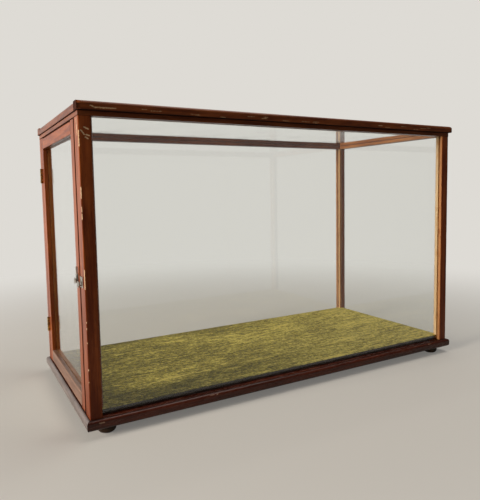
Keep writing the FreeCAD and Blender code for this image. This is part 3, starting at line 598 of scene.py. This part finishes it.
# Top rails: four mitred bars on the posts, mortised for their tenons and grooved for the panes.
# A darker mahogany than the posts, but for a pale one at the right, whose paleness is painted light where
# the window lights its inner face; painted shade darkens their tops under the rim, and the underside of the
# left one.
rim_mahogany = polished_wood(
    "darkened_mahogany",
    heart="602a12", ribbon="945026", pore="240d06", rubbed="c08a5c", raw="e3bf94", rough=0.22,
)
for side, along in sides.items():
    timber(
        "top_rail_" + side, along, amber_mahogany if side == "right" else rim_mahogany,
        arris=SLIM_ARRIS, rub=0.001, seams=BOTH_ENDS, darkened_faces=(TOP, UNDER) if side == "left" else (TOP,),
    )

# Top rim: four lengths with a round nose, planted over the edges of the top pane. Mitred at the
# right; at the door end the front and back lengths run through and show square end grain.
# The nose takes the knocks, so it is scratched to pale wood in thin streaks.
rim_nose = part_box("top_rim_front")[0].y + 0.0004
rim_scars = [
    ((-0.3399, rim_nose, 0.4452), (-0.3337, rim_nose, 0.4424), 0.0011, 0.0004),
    ((-0.3342, rim_nose, 0.4430), (-0.3075, rim_nose, 0.4432), 0.0010, 0.0004),
    ((-0.0790, rim_nose, 0.4430), (-0.0700, rim_nose, 0.4433), 0.0008, 0.0004),
    ((0.1650, rim_nose, 0.4440), (0.1740, rim_nose, 0.4443), 0.0008, 0.0004),
]
chance = random.Random(4)
for i in range(16):
    start, height = chance.uniform(-0.30, 0.33), chance.uniform(0.4405, 0.4465)
    end = start + chance.uniform(0.004, 0.016)
    end_height = height + chance.uniform(-0.0006, 0.0006)
    rim_scars.append(((start, rim_nose, height), (end, rim_nose, end_height), 0.0006, 0.0003))
right_end = (1,)
rim_seams = {"front": right_end, "right": BOTH_ENDS, "back": right_end, "left": BOTH_ENDS}
# Painted shade darkens the underside of each length; the front one is darkened at its left end too
for side, along in sides.items():
    timber(
        "top_rim_" + side, along, rim_mahogany, arris=0.0004, seams=rim_seams[side],
        scars=rim_scars if side == "front" else (),
        darkened_faces=(UNDER, LEFT) if side == "front" else (UNDER,),
    )

# Door frame: two stiles and two rails, tenoned together, with mitred beads behind the pane.
# Polished mahogany with amber beads; the rail at the bottom is greyed, partly by dust and partly as a
# painted sheen.
# Painted shade darkens the faces in the gaps round the door.
dust_and_sheen_rail_mahogany = polished_wood(
    "dusty_rail_mahogany_with_painted_sheen",
    heart="6a4a3c", ribbon="8f6c59", pore="33201a", rubbed="b08f78", raw="d0b394", rough=0.26, shine=0.4,
)
# Way of the grain, wood, ends with seams and darkened faces of each length
door_lengths = {
    "stile_closing": (Z_AXIS, mahogany, (), (FRONT,)),
    "stile_hinge": (Z_AXIS, mahogany, (), ()),
    "bead_closing": (Z_AXIS, amber_mahogany, (), ()),
    "bead_hinge": (Z_AXIS, amber_mahogany, (), ()),
    "rail_top": (Y_AXIS, mahogany, BOTH_ENDS, (TOP,)),
    "rail_bottom": (Y_AXIS, dust_and_sheen_rail_mahogany, BOTH_ENDS, (UNDER,)),
    "bead_top": (Y_AXIS, amber_mahogany, BOTH_ENDS, ()),
    "bead_bottom": (Y_AXIS, amber_mahogany, BOTH_ENDS, ()),
}
for length, (along, wood, seams, darkened_faces) in door_lengths.items():
    arris = SLIM_ARRIS if length.startswith("bead") else 0.001
    timber("door_" + length, along, wood, arris=arris, seams=seams, darkened_faces=darkened_faces)

# Panes: five sheets of old drawn window glass, 3 mm thick, held by rebates, grooves and beads.
# Slightly grey-green, faintly wavy from the drawing, so reflections in it waver.
window_glass, tree, shader = new_material("drawn_window_glass")
glass_tint = linear("fafbfa")
wave_length = 0.07
place = add_node(tree, "ShaderNodeTexCoord", {}).outputs["Object"]
inputs = {"Vector": place, "Scale": 1 / wave_length, "Detail": 1.0}
waves = add_node(tree, "ShaderNodeTexNoise", inputs).outputs["Fac"]
bump = add_node(tree, "ShaderNodeBump", {"Height": waves, "Distance": 0.0004, "Strength": 0.25})
tree.links.new(bump.outputs[0], shader.inputs["Normal"])
shader.inputs["Base Color"].default_value = glass_tint
shader.inputs["Roughness"].default_value = 0.0
shader.inputs["IOR"].default_value = 1.5
shader.inputs["Transmission Weight"].default_value = 1.0
# The lamps shine straight through it
rays = add_node(tree, "ShaderNodeLightPath", {}).outputs
inputs = {0: rays["Is Shadow Ray"], 1: rays["Is Diffuse Ray"]}
lamp_rays = add_node(tree, "ShaderNodeMath", inputs, operation="MAXIMUM").outputs[0]
clear = add_node(tree, "ShaderNodeBsdfTransparent", {"Color": glass_tint}).outputs[0]
see_through = add_node(tree, "ShaderNodeMixShader", {0: lamp_rays, 1: shader.outputs[0], 2: clear})
tree.links.new(see_through.outputs[0], tree.nodes["Material Output"].inputs["Surface"])
for pane in ("glass_front", "glass_right", "glass_back", "glass_top", "glass_door"):
    frame["nodes"][pane].data.materials.clear()
    frame["nodes"][pane].data.materials.append(window_glass)


# Hinges: two cast brass butts, let into the hinge stile and the rear post, with loose pins.
# Left to tarnish: brown film in the hollows, dull yellow metal where it is touched.
def aged_metal(name, bright, film, spot, smooth, dull):
    """Bare metal under a film that comes in spots of this size, with the roughness of both."""
    material, tree, shader = new_material(name)
    place = add_node(tree, "ShaderNodeTexCoord", {}).outputs["Object"]
    inputs = {"Vector": place, "Scale": 1 / spot, "Detail": 4.0}
    spots = add_node(tree, "ShaderNodeTexNoise", inputs).outputs["Fac"]
    inputs = {"Value": spots, "From Min": 0.40, "From Max": 0.62}
    share = add_node(tree, "ShaderNodeMapRange", inputs).outputs["Result"]
    inputs = {0: share, 6: linear(bright), 7: linear(film)}
    colour = add_node(tree, "ShaderNodeMix", inputs, data_type="RGBA").outputs[2]
    inputs = {0: share, 1: dull - smooth, 2: smooth}
    roughness = add_node(tree, "ShaderNodeMath", inputs, operation="MULTIPLY_ADD").outputs[0]
    tree.links.new(colour, shader.inputs["Base Color"])
    tree.links.new(roughness, shader.inputs["Roughness"])
    shader.inputs["Metallic"].default_value = 1.0
    return material


def metalwork(node, metal, eased):
    """Stands for a CAD piece of metal, with its sharp edges eased."""
    shape = plain_copy(node)
    sharp = [
        edge for edge in shape.edges
        if len(edge.link_faces) == 2 and edge.calc_face_angle_signed() > SHARP_ANGLE
    ]
    round_edges(shape, sharp, eased, segments=2)
    stand_for(new_piece(smooth_mesh(shape, "eased_" + node, metal)), node)


brass = aged_metal("tarnished_brass", bright="dcb56c", film="937147", spot=0.004, smooth=0.32, dull=0.55)
for hinge in ("hinge_lower_", "hinge_upper_"):
    for part in ("post_leaf", "door_leaf", "pin"):
        metalwork(hinge + part, brass, eased=0.00015)

# Catch: a turned knob that swings a tongue from the door's plate into the hook of a keep on the post.
# Nickel plated steel, its shine worn to a warm grey in spots.
plated_steel = aged_metal(
    "worn_nickel_plate", bright="ebe4da", film="a9a196", spot=0.005, smooth=0.30, dull=0.50
)
catch_edges = {"plate": 0.0002, "knob": 0.0002, "tongue": 0.0006, "keep": 0.0002}
for part, eased in catch_edges.items():
    metalwork("catch_" + part, plated_steel, eased)

# Screws: slotted, countersunk, flush with the metal or wood that they hold.
# One tree makes them all: a cone on a pointed shank, cut by a slot that stands at any angle.
# Brass in the hinges, plated in the catch, and dulled steel, nearly black, under the posts.
screw_tree = bpy.data.node_groups.new("slotted_screws", "GeometryNodeTree")
size_labels = ("Head Diameter", "Shank Diameter", "Length", "Slot Width", "Slot Depth")
screw_inputs = {
    "Heads": "NodeSocketGeometry",
    **{label: "NodeSocketFloat" for label in size_labels},
    "Heading": "NodeSocketVector",
    "Seed": "NodeSocketInt",
    "Metal": "NodeSocketMaterial",
}
screw_sockets = {}
for label, kind in screw_inputs.items():
    socket = screw_tree.interface.new_socket(label, in_out="INPUT", socket_type=kind)
    screw_sockets[label] = socket.identifier
screw_tree.interface.new_socket("Screws", in_out="OUTPUT", socket_type="NodeSocketGeometry")
given = add_node(screw_tree, "NodeGroupInput", {}).outputs
measures = {label: given[label] for label in size_labels}
for label, first, operation, second in (
    ("head radius", "Head Diameter", "MULTIPLY", 0.5),
    ("shank radius", "Shank Diameter", "MULTIPLY", 0.5),
    ("head depth", "head radius", "SUBTRACT", "shank radius"),
    ("shank length", "Length", "SUBTRACT", "shank radius"),
    ("head low", "head depth", "MULTIPLY", -1.0),
    ("inside head", "head depth", "MULTIPLY", -0.5),
    ("shank low", "inside head", "SUBTRACT", "shank length"),
    ("point low", "inside head", "SUBTRACT", "Length"),
    ("slot length", "Head Diameter", "MULTIPLY", 2.0),
    ("slot height", "Slot Depth", "MULTIPLY", 2.0),
):
    inputs = {0: measures[first], 1: measures.get(second, second)}
    measures[label] = add_node(screw_tree, "ShaderNodeMath", inputs, operation=operation).outputs[0]
facets = 24
whole = add_node(screw_tree, "GeometryNodeMeshBoolean", {}, operation="UNION", solver="EXACT")
# Head, shank and point: radius above and below, depth, and height of the low end
for upper, lower, depth, low in (
    ("head radius", "shank radius", "head depth", "head low"),
    ("shank radius", "shank radius", "shank length", "shank low"),
    ("shank radius", 0.0, "shank radius", "point low"),
):
    inputs = {
        "Vertices": facets, "Radius Top": measures[upper], "Radius Bottom": measures.get(lower, lower),
        "Depth": measures[depth],
    }
    cone = add_node(screw_tree, "GeometryNodeMeshCone", inputs).outputs["Mesh"]
    offset = add_node(screw_tree, "ShaderNodeCombineXYZ", {"Z": measures[low]}).outputs[0]
    inputs = {"Geometry": cone, "Translation": offset}
    lowered = add_node(screw_tree, "GeometryNodeTransform", inputs).outputs[0]
    screw_tree.links.new(lowered, whole.inputs["Mesh 2"])
inputs = {"X": measures["slot length"], "Y": given["Slot Width"], "Z": measures["slot height"]}
slot_size = add_node(screw_tree, "ShaderNodeCombineXYZ", inputs).outputs[0]
cutter = add_node(screw_tree, "GeometryNodeMeshCube", {"Size": slot_size}).outputs["Mesh"]
inputs = {"Mesh 1": whole.outputs["Mesh"], "Mesh 2": cutter}
slotted = add_node(screw_tree, "GeometryNodeMeshBoolean", inputs, operation="DIFFERENCE", solver="EXACT")
inputs = {"Max": (0.0, 0.0, math.pi), "Seed": given["Seed"]}
turn = add_node(screw_tree, "FunctionNodeRandomValue", inputs, data_type="FLOAT_VECTOR").outputs["Value"]
turned = add_node(screw_tree, "FunctionNodeEulerToRotation", {"Euler": turn}).outputs[0]
heading = add_node(screw_tree, "FunctionNodeEulerToRotation", {"Euler": given["Heading"]}).outputs[0]
inputs = {"Rotation": heading, "Rotate By": turned}
rotation = add_node(screw_tree, "FunctionNodeRotateRotation", inputs, rotation_space="LOCAL").outputs[0]
inputs = {"Points": given["Heads"], "Instance": slotted.outputs["Mesh"], "Rotation": rotation}
driven = add_node(screw_tree, "GeometryNodeInstanceOnPoints", inputs).outputs[0]
real = add_node(screw_tree, "GeometryNodeRealizeInstances", {"Geometry": driven}).outputs[0]
inputs = {"Geometry": real, "Material": given["Metal"]}
finished = add_node(screw_tree, "GeometryNodeSetMaterial", inputs).outputs[0]
add_node(screw_tree, "NodeGroupOutput", {"Screws": finished})


def screws(node, metal, head_face, sizes, heading, seed):
    """Drives screws where the CAD has them, with their heads on one face."""
    axis, side = head_face
    shape = merged_copy(node)
    heads, seen = [], set()
    for vert in shape.verts:
        if vert in seen:
            continue
        screw, fresh = {vert}, [vert]
        while fresh:
            for edge in fresh.pop().link_edges:
                for other in edge.verts:
                    if other not in screw:
                        screw.add(other)
                        fresh.append(other)
        seen |= screw
        low = Vector([min(v.co[i] for v in screw) for i in range(3)])
        high = Vector([max(v.co[i] for v in screw) for i in range(3)])
        head = (low + high) / 2
        head[axis] = (low, high)[side > 0][axis]
        heads.append(head)
    shape.free()
    mesh = bpy.data.meshes.new("slotted_" + node)
    mesh.from_pydata(heads, [], [])
    piece = new_piece(mesh)
    drive = piece.modifiers.new("drive screws", "NODES")
    drive.node_group = screw_tree
    values = {**dict(zip(size_labels, sizes)), "Heading": heading, "Seed": seed, "Metal": metal}
    for label, value in values.items():
        drive[screw_sockets[label]] = value
    ready = piece.evaluated_get(bpy.context.evaluated_depsgraph_get())
    piece.data = bpy.data.meshes.new_from_object(ready)
    piece.modifiers.remove(drive)
    stand_for(piece, node)


# Diameter of head and shank, length, width and depth of the slot
post_screw = (0.0070, 0.0035, 0.0340, 0.0008, 0.0007)
hinge_screw = (0.0042, 0.0022, 0.0100, 0.0006, 0.0005)
catch_screw = (0.0034, 0.0018, 0.0070, 0.0006, 0.0005)
downwards = (math.pi, 0.0, 0.0)
forwards = (math.pi / 2, 0.0, 0.0)
backwards = (-math.pi / 2, 0.0, 0.0)
leftwards = (0.0, -math.pi / 2, 0.0)
dull_steel = aged_metal("dulled_steel", bright="8a8781", film="4d4843", spot=0.003, smooth=0.35, dull=0.55)
screws("post_screws", dull_steel, UNDER, post_screw, downwards, seed=3)
screws("hinge_post_screws", brass, FRONT, hinge_screw, forwards, seed=5)
screws("hinge_door_screws", brass, BACK, hinge_screw, backwards, seed=7)
screws("catch_plate_screws", plated_steel, LEFT, catch_screw, leftwards, seed=9)
screws("catch_keep_screws", plated_steel, LEFT, catch_screw, leftwards, seed=11)

# Studio: a plain pale floor, a large soft window light on the left and a weak one above.
# The world shows pale to the eye, to gloss and through glass; as light, it only fills the shade.
# The floor keeps shadows near the cabinet and fades to the backdrop further off.
floor_mesh = bpy.data.meshes.new("studio_floor")
floor_half = 6.0
floor_corners = [(x * floor_half, y * floor_half, 0) for x, y in ((-1, -1), (1, -1), (1, 1), (-1, 1))]
floor_mesh.from_pydata(floor_corners, [], [(0, 1, 2, 3)])
studio_floor = new_piece(floor_mesh)
backdrop_colour = linear("dedbd5")


def seen_rays(tree, rays):
    """1 for what the eye sees, also in a mirror or through glass."""
    seen = rays["Is Camera Ray"]
    for kind in ("Is Glossy Ray", "Is Transmission Ray"):
        seen = add_node(tree, "ShaderNodeMath", {0: seen, 1: rays[kind]}, operation="MAXIMUM").outputs[0]
    return seen


def room_level(tree, rays, way):
    """Brightness of the room. Gloss mirrors one that is bright behind and to the left of the cabinet and
    dim in front; the eye, also through glass, whose rays count as glossy too, sees an even backdrop."""
    bright_way = (-0.5, 0.85, 0.15)
    inputs = {0: way, 1: bright_way}
    facing = add_node(tree, "ShaderNodeVectorMath", inputs, operation="DOT_PRODUCT").outputs["Value"]
    inputs = {"Value": facing, "From Min": -0.3, "From Max": 0.6, "To Min": 0.12, "To Max": 1.0}
    mirrored = add_node(tree, "ShaderNodeMapRange", inputs, interpolation_type="SMOOTHSTEP")
    inputs = {0: rays["Is Glossy Ray"], 1: rays["Is Transmission Ray"]}
    gloss_rays = add_node(tree, "ShaderNodeMath", inputs, operation="SUBTRACT").outputs[0]
    inputs = {0: gloss_rays, 2: 1.0, 3: mirrored.outputs["Result"]}
    return add_node(tree, "ShaderNodeMix", inputs, data_type="FLOAT").outputs[0]


floor_paint, tree, shader = new_material("pale_matt_floor")
shader.inputs["Roughness"].default_value = 0.8
shader.inputs["Specular IOR Level"].default_value = 0.1
place = add_node(tree, "ShaderNodeTexCoord", {}).outputs["Object"]
far = add_node(tree, "ShaderNodeVectorMath", {0: place}, operation="LENGTH").outputs["Value"]
inputs = {"Value": far, "From Min": 0.3, "From Max": 1.5, "To Min": 0.2}
fade = add_node(tree, "ShaderNodeMapRange", inputs, interpolation_type="SMOOTHSTEP").outputs["Result"]
rays = add_node(tree, "ShaderNodeLightPath", {}).outputs
# Less of its light bounces up on the front of the cabinet than the eye sees
inputs = {0: rays["Is Diffuse Ray"], 6: linear("dedad2"), 7: linear("87847e")}
paint = add_node(tree, "ShaderNodeMix", inputs, data_type="RGBA").outputs[2]
tree.links.new(paint, shader.inputs["Base Color"])
inputs = {0: seen_rays(tree, rays), 1: fade}
away = add_node(tree, "ShaderNodeMath", inputs, operation="MULTIPLY").outputs[0]
outward = add_node(tree, "ShaderNodeVectorMath", {0: place}, operation="NORMALIZE").outputs[0]
inputs = {"Color": backdrop_colour, "Strength": room_level(tree, rays, outward)}
glow = add_node(tree, "ShaderNodeEmission", inputs).outputs[0]
faded_floor = add_node(tree, "ShaderNodeMixShader", {0: away, 1: shader.outputs[0], 2: glow}).outputs[0]
tree.links.new(faded_floor, tree.nodes["Material Output"].inputs["Surface"])
floor_mesh.materials.append(floor_paint)

world = bpy.data.worlds.new("pale_studio")
bpy.context.scene.world = world
world.use_nodes = True
tree = world.node_tree
rays = add_node(tree, "ShaderNodeLightPath", {}).outputs
around = add_node(tree, "ShaderNodeTexCoord", {}).outputs["Generated"]
fill = add_node(tree, "ShaderNodeBackground", {"Color": linear("f2f4f8"), "Strength": 0.08}).outputs[0]
inputs = {"Color": backdrop_colour, "Strength": room_level(tree, rays, around)}
backdrop = add_node(tree, "ShaderNodeBackground", inputs).outputs[0]
inputs = {0: seen_rays(tree, rays), 1: fill, 2: backdrop}
surroundings = add_node(tree, "ShaderNodeMixShader", inputs).outputs[0]
tree.links.new(surroundings, tree.nodes["World Output"].inputs["Surface"])


def soft_lamp(name, position, aim, width, height, power, colour):
    """A rectangular lamp that shines from a position to its aim, and isn't seen through the panes."""
    lamp = bpy.data.lights.new(name, "AREA")
    lamp.shape = "RECTANGLE"
    lamp.size, lamp.size_y = width, height
    lamp.energy = power
    lamp.color = linear(colour)[:3]
    holder = bpy.data.objects.new(name, lamp)
    holder.location = position
    holder.rotation_euler = (Vector(aim) - Vector(position)).to_track_quat("-Z", "Y").to_euler()
    holder.visible_transmission = False
    bpy.context.scene.collection.objects.link(holder)
    return holder


window = soft_lamp(
    "window_light", position=(-4.6, -0.45, 1.20), aim=(0.0, 0.0, 0.25),
    width=1.4, height=2.2, power=265.0, colour="fff4e6",
)
# The panes mirror the room and not this lamp, which would be a white square in the door
window.visible_glossy = False
soft_lamp(
    "overhead_light", position=(0.7, -0.1, 2.4), aim=(0.0, 0.0, 0.2),
    width=1.4, height=1.2, power=19.0, colour="fffaf4",
)

# Camera: set where the photograph was taken from, by a fit of the cabinet's straight edges.
# The lens is given in pixels of the picture, and its axis meets the picture a little above the middle.
picture_height, sensor = 500, 36.0
focal_pixels, axis_row = 509.17, 233.93
standpoint = (-0.5038, -0.8392, 0.3290)
yaw, pitch, roll = (math.radians(angle) for angle in (29.521, 4.604, 1.004))
ahead = Vector((math.sin(yaw) * math.cos(pitch), math.cos(yaw) * math.cos(pitch), -math.sin(pitch)))
sideways = Vector((math.cos(yaw), -math.sin(yaw), 0.0))
down = ahead.cross(sideways)
right = sideways * math.cos(roll) + down * math.sin(roll)
up = sideways * math.sin(roll) - down * math.cos(roll)
lens = bpy.data.cameras.new("photo_camera")
lens.sensor_width = sensor
lens.lens = focal_pixels / picture_height * sensor
lens.shift_y = (axis_row - picture_height / 2) / picture_height
lens.clip_start = 0.05
camera = bpy.data.objects.new("photo_camera", lens)
turn = Matrix((right, up, -ahead)).transposed()
camera.matrix_world = Matrix.Translation(standpoint) @ turn.to_4x4()
bpy.context.scene.collection.objects.link(camera)
bpy.context.scene.camera = camera
bpy.context.scene.view_settings.view_transform = "Standard"
